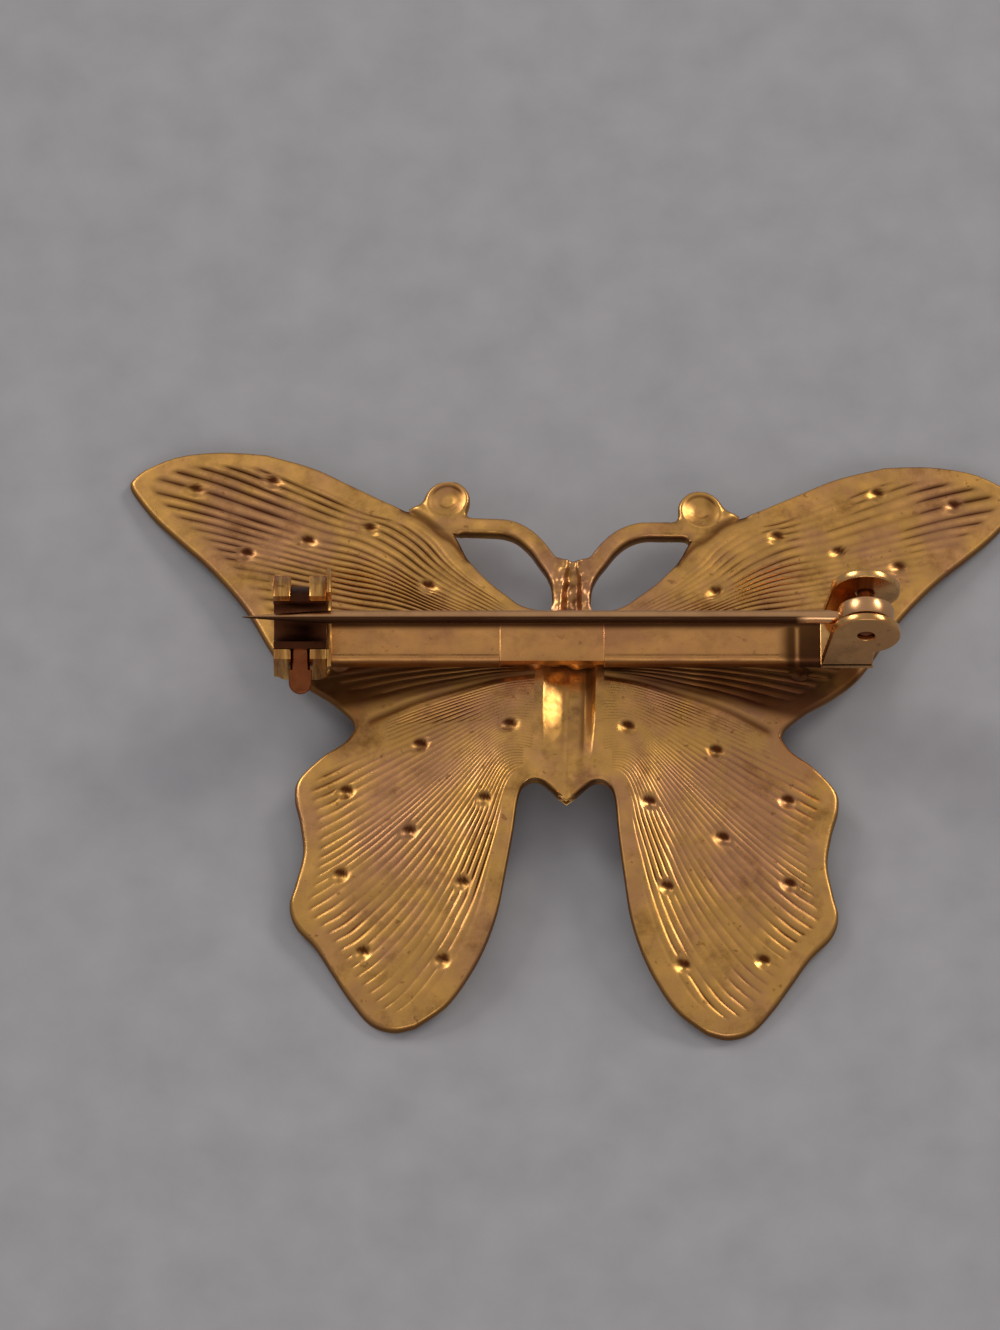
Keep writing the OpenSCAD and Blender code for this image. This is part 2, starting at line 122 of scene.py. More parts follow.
DIMPLES = [(0.853, 0.314), (0.681, 0.324), (0.733, 0.197), (0.597, 0.215), (0.458, 0.233),
           (0.322, 0.127), (0.513, -0.005), (0.656, 0.142),
           (0.132, -0.122), (0.330, -0.152), (0.491, -0.228), (0.183, -0.248), (0.348, -0.299),
           (0.498, -0.367), (0.227, -0.387), (0.443, -0.494), (0.267, -0.511)]
ARM = [(0.016, 0.090), (0.022, 0.122), (0.038, 0.146), (0.058, 0.168), (0.081, 0.192),
       (0.112, 0.214), (0.150, 0.227), (0.198, 0.231), (0.240, 0.234), (0.285, 0.241), (0.345, 0.258)]
DOME = (0.285, 0.271)
# Hollow body: y share, share of its half width, share of its depth
BODY = [(0.154, 0.20, 0.25), (0.137, 0.35, 0.55), (0.106, 0.38, 0.65), (0.076, 0.42, 0.70),
        (0.056, 0.62, 0.80), (0.032, 0.88, 0.95), (-0.03, 1.00, 1.00), (-0.10, 1.00, 1.00),
        (-0.175, 0.95, 0.85), (-0.205, 0.72, 0.55), (-0.230, 0.36, 0.30), (-0.248, 0.08, 0.10)]
ROOT_TOP = 0.073
ROOT_DIVISION = -0.035
ROOT_CROTCH = -0.243

# Seam under an antenna's end: shares like those of the outlines
SEAM = [(0.385, 0.266), (0.360, 0.257), (0.330, 0.242), (0.298, 0.220), (0.271, 0.206), (0.248, 0.184),
        (0.236, 0.173)]
SEAM_W = 0.27
SEAM_DEPTH = 0.16
# Painted shadow along the seam under each antenna's end
SEAM_SHADOW = 0.85

# Ribs of the scene's sheet, and the rows and columns of the mesh that carries them
FORE_RIBS = 27
HIND_RIBS = 34
FORE_RIBBED = (0.09, 0.975)
HIND_RIBBED = (0.025, 0.93)
LEAST_RIB = 0.12
RIB_ROWS = 8
WIDE_ROWS = 14
NARROW_ROWS = 5
FIELD_COLS = 88
BORDER_COLS = 16
FINE_W = 1.7
# How fast the bend of a wing's front edge dies out towards its rear edge
FORE_HOLD = 1.7
HIND_HOLD = 1.15

# Low relief and marks of the sheet
WAVE_SIZE = 5.0
WAVE_H = 0.04
LEFT_SEED = 1
RIGHT_SEED = 3
TIP_ROUND = 0.008
TIP_SHIFT = 0.089
PARTING_W = 0.24
HIND_Y = -4.5
CROTCH_Y = -6
GAP_END = 8.2
GAP_BORDER_LESS = 0.55
CUP_RIM = 1.2
# Painted shadow of the bar on the sheet: where it starts and its slant; SHADE_DARK is its strength
SHADE_Y = 1.5
SHADE_SLOPE = 0.17
RIB_DARK = 0.95
PARTING_DEPTH = 0.10
PARTING_DARK = 0.7
# Painted shade along the wings' rims
RIM_W = 0.15
RIM_SHADE = 0.75
SHADE_DARK = 0.84
# The body's sheet lies this much over the wings where they overlap
OVER_WINGS = 0.004

# Outline of the body's sheet: what its pieces add, where strips end, and how softly they blend
ARM_MORE = 0.02
FAR_OUT = -9
CROTCH_STRIP = (2.7, -6.5)
BODY_ENDS = (-10.1, 6.7)
ARM_BLEND = 0.8
BODY_BLEND = 0.7
CROTCH_BLEND = 0.3

# Details of the pin back
SOLDER_T = 0.45
BAR_FLAT = 0.98
SPAN_ROWS = 200
PAD_H = 0.03
BASE_H = 0.05
EARS_BASE_H = 0.04
ROOT_R = 0.44
# Painted shade over the bar's end towards the hinge starts at DARK_END_X; a painted highlight streak crosses it at
# STREAK_X
DARK_END_X = 12.4
STREAK_X = 13.8
# The way up in the picture, as shares of Y and Z
PICTURE_UP = (0.875, 0.485)


def sheet_row(points):
    """Millimetres in the sheet's own frame to metres in the row frame."""
    p = np.asarray(points, float)
    c, s = math.cos(SKEW), math.sin(SKEW)
    turned = np.column_stack([p[:, 0] * c + p[:, 1] * s, p[:, 1] * c - p[:, 0] * s, p[:, 2]])
    return (turned - CENTRE) * MM


def pin_row(points):
    """Millimetres in the pin back's frame to metres in the row frame."""
    return (np.asarray(points, float) - CENTRE) * MM


def smoothstep(x):
    x = np.clip(x, 0, 1)
    return x * x * (3 - 2 * x)


def rise(x, start, width):
    """A soft step from 0 at start up to 1 at start + width."""
    return smoothstep((x - start) / width)


def fall(x, end, width):
    """A soft step from 1 at end - width down to 0 at end."""
    return smoothstep((end - x) / width)


def bell(x, width):
    """1 at 0, falling away on both sides."""
    return np.exp(-(x / width) ** 2)


def round_edge(inside):
    """How far a rounded edge drops at points that lie so far inside it."""
    return ROUND_EDGE * (1 - np.sqrt(1 - (1 - np.clip(inside / ROUND_EDGE, 0, 1)) ** 2))


def rough(points, scale, seed):
    """Smooth noise from -1 to 1 at points in millimetres; scale is the size of a patch."""
    shift = Vector((seed * 7.13, seed * 3.71, seed * 5.37))
    return np.array([noise.noise(Vector(p) / scale + shift) for p in points])


def mesh_piece(name, points, faces, material, sharp=35, values=None):
    """An object of the mesh, with creases over so many degrees and values for each point."""
    mesh = bpy.data.meshes.new(name)
    mesh.from_pydata(np.asarray(points).tolist(), [], faces if isinstance(faces, list) else faces.tolist())
    mesh.validate()
    for key, data in (values or {}).items():
        layer = mesh.attributes.new(key, "FLOAT", "POINT")
        layer.data.foreach_set("value", np.asarray(data, np.float32))
    mesh.polygons.foreach_set("use_smooth", [True] * len(mesh.polygons))
    mesh.set_sharp_from_angle(angle=math.radians(sharp))
    piece = bpy.data.objects.new(name, mesh)
    bpy.context.collection.objects.link(piece)
    mesh.materials.append(material)
    return piece


def grid_faces(rows, cols, closed=False, flip=False, start=0):
    """Quads of a grid of points that are counted row by row."""
    r, c = np.meshgrid(np.arange(rows - 1), np.arange(cols if closed else cols - 1), indexing="ij")
    nxt = (c + 1) % cols
    a, b = start + r * cols + c, start + r * cols + nxt
    d, e = start + (r + 1) * cols + c, start + (r + 1) * cols + nxt
    quads = np.stack([a, b, e, d], -1).reshape(-1, 4)
    return quads[:, ::-1] if flip else quads


def loft(sections, capped=True):
    """Points and faces of a closed tube through sections of equal length."""
    n, m = len(sections), len(sections[0])
    faces = grid_faces(n, m, closed=True).tolist()
    if capped:
        faces += [list(range(m))[::-1], [(n - 1) * m + i for i in range(m)]]
    return np.concatenate(sections), faces


def join(parts):
    """Several (points, faces) as one."""
    points, faces, start = [], [], 0
    for p, f in parts:
        points.append(np.asarray(p, float))
        faces += [[i + start for i in face] for face in f]
        start += len(p)
    return np.concatenate(points), faces


def plate(loops, low, high, bevel):
    """A flat plate with rounded rims: outlines in its own x and y, from low to high along z."""
    curve = bpy.data.curves.new("outline", "CURVE")
    curve.dimensions = "2D"
    curve.fill_mode = "BOTH"
    curve.extrude = (high - low) / 2 - bevel
    curve.bevel_depth = bevel
    curve.bevel_resolution = 2
    curve.offset = -bevel
    for loop in loops:
        spline = curve.splines.new("POLY")
        spline.points.add(len(loop) - 1)
        for point, at in zip(spline.points, loop):
            point.co = (at[0], at[1], 0, 1)
        spline.use_cyclic_u = True
    shell = bpy.data.objects.new("outline", curve)
    bpy.context.collection.objects.link(shell)
    bpy.context.view_layer.update()
    mesh = bpy.data.meshes.new_from_object(shell.evaluated_get(bpy.context.evaluated_depsgraph_get()))
    points = np.array([v.co for v in mesh.vertices], float).reshape(-1, 3)
    points[:, 2] += (low + high) / 2
    faces = [list(p.vertices) for p in mesh.polygons]
    bpy.data.objects.remove(shell)
    bpy.data.meshes.remove(mesh)
    return points, faces


def ring(radius, low=0.0, high=360.0, steps=64, x=0.0, y=0.0):
    """Points on an arc from angle low to angle high."""
    whole = abs(high - low) >= 360
    angles = np.radians(np.linspace(low, high, steps, endpoint=not whole))
    return np.column_stack([x + radius * np.cos(angles), y + radius * np.sin(angles)])


def along_x(part, y, z):
    """A plate drawn in Y and Z that runs along X."""
    p, f = part
    return np.column_stack([p[:, 2], p[:, 0] + y, p[:, 1] + z]), f


def along_y(part, x, z, y=0.0):
    """A plate or turned piece drawn in X and Z that runs along Y."""
    p, f = part
    return np.column_stack([p[:, 0] + x, p[:, 2] + y, p[:, 1] + z]), [face[::-1] for face in f]


def lathe(profile, steps=48):
    """Points and faces of a profile of (radius, height) turned round the z axis."""
    angles = np.radians(np.arange(steps) * 360 / steps)
    rows = [np.column_stack([r * np.cos(angles), r * np.sin(angles), np.full(steps, z)]) for r, z in profile]
    return loft(rows)


def smooth(points, steps=24):
    """A smooth curve through the points."""
    p = np.array(points, float)
    n, out = len(p), []
    for i in range(n - 1):
        a, b, c, d = p[max(i - 1, 0)], p[i], p[i + 1], p[min(i + 2, n - 1)]
        t = (np.arange(steps) / steps)[:, None]
        out.append(0.5 * (2 * b + (c - a) * t + (2 * a - 5 * b + 4 * c - d) * t ** 2
                          + (3 * b - a - 3 * c + d) * t ** 3))
    return np.concatenate(out + [p[-1:]])


class Path:
    """A smooth curve that is read by the share of its length."""

    def __init__(self, points):
        self.points = smooth(points)
        steps = np.linalg.norm(np.diff(self.points, axis=0), axis=1)
        self.share = np.concatenate([[0], np.cumsum(steps)]) / steps.sum()

    def at(self, t):
        t = np.asarray(t, float)
        return np.stack([np.interp(t, self.share, self.points[:, i]) for i in (0, 1)], -1)


def placed(table):
    """Millimetres from shares of the half span and of the sheet's length."""
    return [(x * HALF, y * LENGTH) for x, y in table]


BODY_Y = np.array([b[0] for b in BODY][::-1])
BODY_HALF = np.array([b[1] for b in BODY][::-1])
BODY_DEPTH = np.array([b[2] for b in BODY][::-1])


def root_point(share):
    """Points where the wings join the body, at shares of the sheet's length."""
    share = np.asarray(share, float)
    half = TROUGH_W / 2 * np.interp(share, BODY_Y, BODY_HALF) + SHEET_T / 2
    return np.stack([half, share * LENGTH], -1)


leading = Path([root_point(ROOT_TOP)] + placed(LEADING))
division = Path([root_point(ROOT_DIVISION)] + placed(DIVISION))
inner = Path([root_point(ROOT_CROTCH)] + placed(INNER))
fore_edge = Path(placed(FORE_EDGE))
hind_edge = Path(placed(HIND_EDGE))
seam_line = smooth(placed(SEAM), 6)


def wing_point(a, b, root_a, root_b, outer, u, v, hold):
    """Straight lines from the root to the outer edge, bent like the two long edges beside them."""
    root = root_point(root_a + (root_b - root_a) * v)
    u1, v1 = u[..., None], v[..., None]
    bend_a = a.at(u) - (1 - u1) * a.at(0) - u1 * a.at(1)
    bend_b = b.at(u) - (1 - u1) * b.at(0) - u1 * b.at(1)
    return (1 - u1) * root + u1 * outer.at(v) + (1 - v1) ** hold * bend_a + v1 ** hold * bend_b


def sheet_z(x, y):
    """Height of the sheet's field: it falls to the wing tips and bows down to the tails."""
    bow = np.maximum(0, BOW_START * LENGTH - y) ** 2 / ((BOW_START - TAIL_Y) * LENGTH) ** 2
    return BODY_Z - WING_DROP * np.abs(x) / HALF - TAIL_BOW * bow


def distance_to(line, p):
    """Distance from points to a broken line."""
    best = np.full(len(p), 1e9)
    for a, b in zip(line[:-1], line[1:]):
        d = b - a
        t = np.clip(((p - a) @ d) / max(d @ d, 1e-12), 0, 1)
        best = np.minimum(best, np.linalg.norm(p - a - t[:, None] * d, axis=1))
    return best


def wing_grid():
    """The right-hand wings as rows from body to outer edge.

    Gives the points, the phase of the ribs, their pitch and number, and each row's place along the outer edge.
    """
    fore_v = np.concatenate([np.linspace(0, FORE_RIBBED[0], WIDE_ROWS, endpoint=False),
                             np.linspace(*FORE_RIBBED, FORE_RIBS * RIB_ROWS, endpoint=False),
                             np.linspace(FORE_RIBBED[1], 1, NARROW_ROWS)])
    hind_v = np.concatenate([np.linspace(0, HIND_RIBBED[0], NARROW_ROWS)[1:],
                             np.linspace(*HIND_RIBBED, HIND_RIBS * RIB_ROWS, endpoint=False)[1:],
                             np.linspace(HIND_RIBBED[1], 1, WIDE_ROWS)])
    fore = (leading, division, ROOT_TOP, ROOT_DIVISION, fore_edge)
    hind = (division, inner, ROOT_DIVISION, ROOT_CROTCH, hind_edge)
    rows, phase, pitch, rib_count = [], [], [], []
    for edges, vs, hold, ribbed, ribs in ((fore, fore_v, FORE_HOLD, FORE_RIBBED, FORE_RIBS),
                                          (hind, hind_v, HIND_HOLD, HIND_RIBBED, HIND_RIBS)):
        low, high = ribbed
        for v in vs:
            first, last = wing_point(*edges, np.array([0.0, 1.0]), np.array([v, v]), hold)
            foot = 1 - FINE_W / np.linalg.norm(last - first)
            u = np.concatenate([foot * np.linspace(0, 1, FIELD_COLS, endpoint=False) ** 0.95,
                                foot + (1 - foot) * np.linspace(0, 1, BORDER_COLS)])
            rows.append(wing_point(*edges, u, np.full(len(u), v), hold))
            phase.append(np.full(len(u), (v - low) / (high - low) * ribs))
            pitch.append(np.full(len(u), (high - low) / ribs))
            rib_count.append(np.full(len(u), ribs))
    places = np.concatenate([fore_v, hind_v + 1])
    return np.array(rows), np.array(phase), np.array(pitch), np.array(rib_count), places


def painted_bar_shadow(x, y):
    """Painted shadow of the bar on the sheet under it and beside it towards the tails, from 0 to 1."""
    return rise(y + SHADE_Y + SHADE_SLOPE * x, 0, 0.9) * fall(y, 2.0, 0.5)


def add_dimple(rows, at, side, height, dark):
    """Press one dimple into the height and the marks: a cone, calm round it, painted shade on its far side."""
    away = np.linalg.norm(rows - np.array(at), axis=2)
    bowl = np.clip(1 - (np.sqrt(away ** 2 + TIP_ROUND) - TIP_SHIFT) / DIMPLE_R, 0, 1) ** 1.15
    far = (0.35 * side * (rows[..., 0] - at[0]) + rows[..., 1] - at[1]) / DIMPLE_R
    calm = rise(away, DIMPLE_R * 0.9, 0.25)
    height = BORDER_H + (height - BORDER_H) * calm - DIMPLE_DEPTH * bowl
    # Painted shade in the bowl's far side
    dark = dark * calm + smoothstep(2.2 * bowl) * smoothstep(0.62 + 1.6 * far)
    return height, dark


def wing_relief(rows, phase, pitch, rib_count, vs, seed, side):
    """Height over the field, drop of the round edge, and marks of tarnish, painted shade, wear and painted
    highlights, for each point of the grid.
    """
    shape = rows.shape[:2]
    flat = rows.reshape(-1, 2)
    x, y = rows[..., 0], rows[..., 1]
    outline = np.concatenate([leading.points[::4], fore_edge.points[::4], hind_edge.points[::4],
                              inner.points[::-1][::4]])
    edge = distance_to(outline, flat).reshape(shape)
    parting = distance_to(division.points[::6], flat).reshape(shape)
    notch = np.linalg.norm(rows - np.array(placed(FORE_EDGE)[-1]), axis=2)
    from_cup = np.linalg.norm(rows - CUP, axis=2)
    step = np.linalg.norm(np.gradient(rows, vs, axis=0), axis=2) * pitch
    points3 = np.column_stack([flat, np.zeros(len(flat))])
    wave, patch, broad = (rough(points3, size, seed + more).reshape(shape)
                          for size, more in ((WAVE_SIZE, 0), (2.6, 3), (7.0, 9)))

    # The smooth border, and how deep the grooves between the ribs are
    by_gap = fall(x, GAP_END, 1.5) * (y > 0)
    border = smoothstep(((BORDER_W - GAP_BORDER_LESS * by_gap) * (1 + 0.15 * wave) - edge) / 0.35 + 0.5)
    ribbed = rise(phase, -0.15, 0.5) * rise(rib_count - phase, -0.15, 0.5)
    strength = (1 - border) * rise(notch, 1.7, 1.8) * ribbed * rise(step, LEAST_RIB, 0.3)
    strength = strength * np.clip(0.78 + 0.7 * patch + 0.6 * broad, 0.3, 1.2)
    hind_middle = (y < HIND_Y) * rise(edge, 2.0, 1.6)
    groove = 1 - np.abs(np.sin(np.pi * phase)) ** (0.7 + 0.5 * hind_middle)
    height = BORDER_H - GROOVE * strength * (1 - 0.72 * hind_middle) * groove + WAVE_H * wave
    height -= PARTING_DEPTH * bell(parting, PARTING_W) * rise(edge, 0.5, 0.6)

    # The edge is round, but not where the wing joins the body or an antenna's end
    joined = 1 - rise(from_cup, 1.8, 0.3)
    joined = np.maximum(joined, (1 - rise(x, 2.2, 0.4)) * (y < CROTCH_Y))
    edge = edge + joined
    drop = round_edge(edge)

    under_end = seam(flat).reshape(shape)
    height -= SEAM_DEPTH * under_end
    # Tarnish in the grooves between the ribs, and painted shadow along the seam under an antenna's end
    dark = RIB_DARK * strength * (1 - 0.6 * hind_middle) * groove ** 1.2 * (1 + 0.5 * patch) + SEAM_SHADOW * under_end
    dark += PARTING_DARK * bell(parting, PARTING_W) * rise(edge, 0.4, 0.6)
    # Painted shade along the rim
    dark += RIM_SHADE * (1 - np.clip(edge / RIM_W, 0, 1))
    for at in placed(DIMPLES):
        height, dark = add_dimple(rows, at, side, height, dark)
    # Painted shadow of the bar on the sheet under it
    dark = np.maximum(dark, SHADE_DARK * painted_bar_shadow(x, y) * fall(x, 18.2, 0.8) * (1 + 0.2 * patch))
    # Wear on the border and the ribs' crests, with painted highlights on the crests of the hind wings away from
    # their middle
    bright = (y < HIND_Y) * (1 - hind_middle)
    worn = border * 0.5 + (1 - border) * (1 - groove) ** 2 * (0.5 + bright)
    return height, drop, np.clip(dark, 0, 1), np.clip(worn, 0, 1)


def wing_piece(name, side, material, seed):
    """The wings of one side: top, a coarser underside and the rim between them."""
    rows, phase, pitch, rib_count, vs = wing_grid()
    height, drop, dark, worn = wing_relief(rows, phase, pitch, rib_count, vs, seed, side)
    n, m = rows.shape[:2]
    z = sheet_z(rows[..., 0], rows[..., 1]) - BORDER_H + height
    top = np.dstack([rows, z - drop]).reshape(-1, 3)
    underside = np.dstack([rows, z - SHEET_T])
    low_cols = np.unique(np.concatenate([np.arange(0, m - 1, 2), [m - 1]]))
    below = underside[:, low_cols].reshape(-1, 3)
    # The rim: each point of the top's border and the point straight under it
    loop = (list(range(m)) + [r * m + m - 1 for r in range(1, n)]
            + [(n - 1) * m + c for c in range(m - 2, -1, -1)] + [r * m for r in range(n - 2, 0, -1)])
    rim = underside.reshape(-1, 3)[loop]
    count, rim_start = len(loop), len(top) + len(below)
    walls = [[loop[i], loop[(i + 1) % count], rim_start + (i + 1) % count, rim_start + i] for i in range(count)]
    faces = (grid_faces(n, m, flip=True).tolist() + grid_faces(n, len(low_cols), start=len(top)).tolist()
             + walls)
    points = np.concatenate([top, below, rim])
    points[:, 0] *= side
    if side < 0:
        faces = [f[::-1] for f in faces]
    # The rim's walls carry painted shade
    values = {
        "dark": np.concatenate([dark.ravel(), np.zeros(len(below)), np.full(count, 0.5)]),
        "worn": np.concatenate([worn.ravel(), np.full(len(below), 0.4), np.full(count, 0.1)]),
    }
    return mesh_piece(name, sheet_row(points), faces, material, 40, values)


# Right half of the outline of head and body, from the notch between the antennae to the tip of the abdomen
BODY_OUTLINE = [(0.0, 6.6), (0.7, 6.6), (0.98, 5.5), (0.98, 3.6), (1.3, 2.6), (2.1, 1.3), (2.12, -7.0),
                (1.8, -8.2), (0.95, -9.15), (0.1, -10.0), (0.0, -10.0)]


def inside_line(line, p):
    """Signed distance to a broken line, more than 0 on its right."""
    best, sign = np.full(len(p), 1e9), np.ones(len(p))
    for a, b in zip(line[:-1], line[1:]):
        d = b - a
        t = np.clip(((p - a) @ d) / max(d @ d, 1e-12), 0, 1)
        away = p - a - t[:, None] * d
        gap = np.linalg.norm(away, axis=1)
        near = gap < best
        best = np.where(near, gap, best)
        sign = np.where(near, np.where(away[:, 0] * d[1] - away[:, 1] * d[0] > 0, 1, -1), sign)
    return best * sign


def smooth_max(a, b, k):
    """The larger of two distances, blended where they differ by less than k."""
    h = np.maximum(k - np.abs(a - b), 0) / k
    return np.maximum(a, b) + h * h * k / 4


CUP = np.array([DOME[0] * HALF, DOME[1] * LENGTH])
CUP_RISE = (0.3, -0.05)
arm_line = Path(placed(ARM)).points[::4]
lead_line = leading.points[::4]
crotch_line = inner.points[:140:3]
body_line = np.array(BODY_OUTLINE)


def cup_distance(p):
    """Distance to the middle of the nearer cup; the left one sits a little higher."""
    q = np.column_stack([np.abs(p[:, 0]), p[:, 1] - np.where(p[:, 0] < 0, *CUP_RISE)])
    return np.linalg.norm(q - CUP, axis=1)


def seam(q):
    """Seam that runs under an antenna's end from the wing's edge to the corner of the gap, from 0 to 1: a shallow
    groove with painted shadow.
    """
    return bell(distance_to(seam_line, q), SEAM_W)


def inside_stamping(p, whole=False):
    """Distance inside the outline of body, head and antennae, with strips of the wings next to them.

    With whole, the wings count in full, so that no rim shows where they meet the body.
    """
    q = np.column_stack([np.abs(p[:, 0]), p[:, 1]])
    from_cup = cup_distance(p)
    disc = DOME_R - from_cup
    arm = ARM_W / 2 + ARM_MORE - distance_to(arm_line, q)
    lead, crotch = inside_line(lead_line, q), -inside_line(crotch_line, q)
    if whole:
        lead = np.where(q[:, 1] > -3, lead, FAR_OUT)
        crotch = np.where(q[:, 1] < 0, crotch, FAR_OUT)
    else:
        lead = np.minimum(lead, END_REACH - from_cup)
        crotch = np.minimum(np.minimum(crotch, CROTCH_STRIP[0] - q[:, 0]), CROTCH_STRIP[1] - q[:, 1])
    middle = inside_line(body_line, q)
    middle = np.where((q[:, 1] > BODY_ENDS[1]) | (q[:, 1] < BODY_ENDS[0]), -np.abs(middle), middle)
    ends = smooth_max(smooth_max(disc, arm, ARM_BLEND), lead, ARM_BLEND)
    return smooth_max(smooth_max(ends, middle, BODY_BLEND), crotch, CROTCH_BLEND)


def hollow_body(x, y):
    """Height of the abdomen's hollow, and how far a point lies in it, from 0 to 1."""
    share = y / LENGTH
    half = TROUGH_W / 2 * np.interp(share, BODY_Y, BODY_HALF)
    deep = TROUGH_DEPTH * np.interp(share, BODY_Y, BODY_DEPTH)
    deep = deep * (0.04 + 0.96 * rise(share, -0.222, 0.14))
    # The bottom lies a little to the right below the bar, and the left wall is the wider one
    lean = 0.3 * fall(y, 2.0, 1.5)
    across = np.clip(np.abs(x - lean) / np.maximum(half + np.where(x < lean, lean, -lean), 0.05), 0, 1)
    wall = np.where(x < lean, 0.68, 0.5)
    hollow = 1 - np.clip((across - 1 + wall) / wall, 0, 1) ** 1.25
    return -deep * hollow, hollow


def stamping_marks(p, inside, head, small, left_wall):
    """Painted shade and painted highlights for body, head and antennae."""
    x, y = p[:, 0], p[:, 1]
    q = np.column_stack([np.abs(x), y])
    from_cup = cup_distance(p)
    up = y - CUP[1] - np.where(x < 0, *CUP_RISE)
    to_right = x - np.sign(x) * CUP[0]
    # Painted shade in the cups: a line inside the far rim, one below the middle, and the right-hand half
    dark = 0.75 * bell(from_cup - 0.98, 0.09) * rise(up, 0.2, 0.5)
    dark += 0.6 * bell(from_cup - 0.45, 0.1) * rise(-up, 0.1, 0.2)
    dark += 0.55 * bell(from_cup - 0.7, 0.3) * rise(to_right, 0.05, 0.5)
    # Painted shade on the rim, the seams, the head's right side and the right wall of the hollow
    dark += 0.6 * (1 - np.clip(inside / 0.16, 0, 1))
    dark += SEAM_SHADOW * seam(q)
    dark += 0.9 * head * np.clip(0.45 - 1.8 * small, 0, 1) * bell(x - 0.25, 0.5)
    dark += 0.62 * rise(x, 0.55, 0.3) * fall(x, 1.5, 0.12) * fall(y, 1.4, 0.5) * rise(y, -7.6, 1.6)
    # Painted shadow of the bar
    dark = np.maximum(dark, 0.7 * painted_bar_shadow(np.abs(x), y))
    # Painted highlights on the cups' rims and on the left wall of the hollow
    worn = 0.8 * bell(from_cup - CUP_RIM, 0.16) + 0.7 * left_wall
    return np.clip(dark, 0, 1), np.clip(worn, 0, 1)


def stamping_relief(p, inside):
    """Height over the sheet's level, and marks of painted shade and painted highlights, for body, head and
    antennae.
    """
    x, y = p[:, 0], p[:, 1]
    q = np.column_stack([np.abs(x), y])
    points3 = np.column_stack([x, y, np.zeros(len(x))])
    mirrored3 = np.column_stack([q, np.zeros(len(x))])
    broad, small, fine = (rough(points3, size, seed) for size, seed in ((1.1, 5), (0.5, 8), (0.22, 12)))
    # The same waves as on the wings beside it
    wave = np.where(x < 0, rough(mirrored3, WAVE_SIZE, LEFT_SEED), rough(mirrored3, WAVE_SIZE, RIGHT_SEED))

    height, hollow = hollow_body(x, y)
    left_wall = bell(x + 0.95, 0.5) * rise(y, -6.0, 3.0) * fall(y, 0.5, 1.0)
    height += hollow * (0.04 * broad + 0.015 * small) + left_wall * (0.015 * small + 0.01 * fine)
    head = rise(y, 2.6, 0.6) * fall(y, 7.2, 1.4) * np.exp(-(x / 1.1) ** 4)
    height += head * (0.15 * small + 0.03 * fine - 0.05 - 0.12 * bell(x - 0.15, 0.4))
    height += WAVE_H * wave * rise(np.abs(x), 0.5, 1.3)

    # The arms are a little round; each end has a shallow cup with a soft rim
    off_arm = distance_to(arm_line, q)
    from_cup = cup_distance(p)
    on_arm = rise(y, 6.0, 1.5) * rise(from_cup, 0.9, 0.5)
    height += 0.07 * on_arm * (1 - np.clip(off_arm / 0.6, 0, 1) ** 2) + 0.03 * on_arm * broad
    height -= CUP_DEPTH * (1 - rise(from_cup, 0.3, 0.85))
    height += 0.04 * bell(from_cup - CUP_RIM, 0.14)
    height -= SEAM_DEPTH * seam(q)
    height -= round_edge(inside)
    return height, *stamping_marks(p, inside, head, small, left_wall)


def stamping_piece(name, material):
    """Body, head and antennae as one sheet on a fine grid whose rim lies on the outline."""
    xs = np.arange(-10.5, 10.51, GRID_STEP)
    ys = np.arange(-10.3, 12.3, GRID_STEP)
    p = np.stack(np.meshgrid(xs, ys), -1).reshape(-1, 2)
    f = inside_stamping(p)
    on_rim = np.abs(f) < 0.45 * GRID_STEP
    within = (f > 0) & ~on_rim
    grid = within.reshape(len(ys), len(xs))
    kept = grid[:-1, :-1] | grid[1:, :-1] | grid[:-1, 1:] | grid[1:, 1:]
    r, c = np.nonzero(kept)
    i = r * len(xs) + c
    quads = np.stack([i, i + 1, i + len(xs) + 1, i + len(xs)], -1)
    used, renamed = np.unique(quads, return_inverse=True)
    quads = renamed.reshape(-1, 4)
    p, moved = p[used], ~within[used]
    # Newton steps take the outer points to the outline
    step = 0.01
    for _ in range(4):
        at = p[moved]
        value = inside_stamping(at)
        slope = np.column_stack([inside_stamping(at + d) - value for d in ([step, 0], [0, step])]) / step
        size = np.maximum((slope ** 2).sum(axis=1), 0.2)
        p[moved] = at - slope * (value / size)[:, None]
    height, dark, worn = stamping_relief(p, np.maximum(inside_stamping(p, True), 0))
    top = np.column_stack([p, sheet_z(p[:, 0], p[:, 1]) + height + OVER_WINGS])
    below = top - [0, 0, SHEET_T]
    count = len(top)
    sides = np.concatenate([quads[:, [k, (k + 1) % 4]] for k in range(4)])
    both = {tuple(e) for e in sides.tolist()}
    rim = [(a, b) for a, b in both if (b, a) not in both]
    faces = quads.tolist() + (quads[:, ::-1] + count).tolist() + [[b, a, a + count, b + count] for a, b in rim]
    values = {"dark": np.concatenate([dark, dark * 0]), "worn": np.concatenate([worn, worn * 0])}
    return mesh_piece(name, sheet_row(np.concatenate([top, below])), faces, material, 50, values)


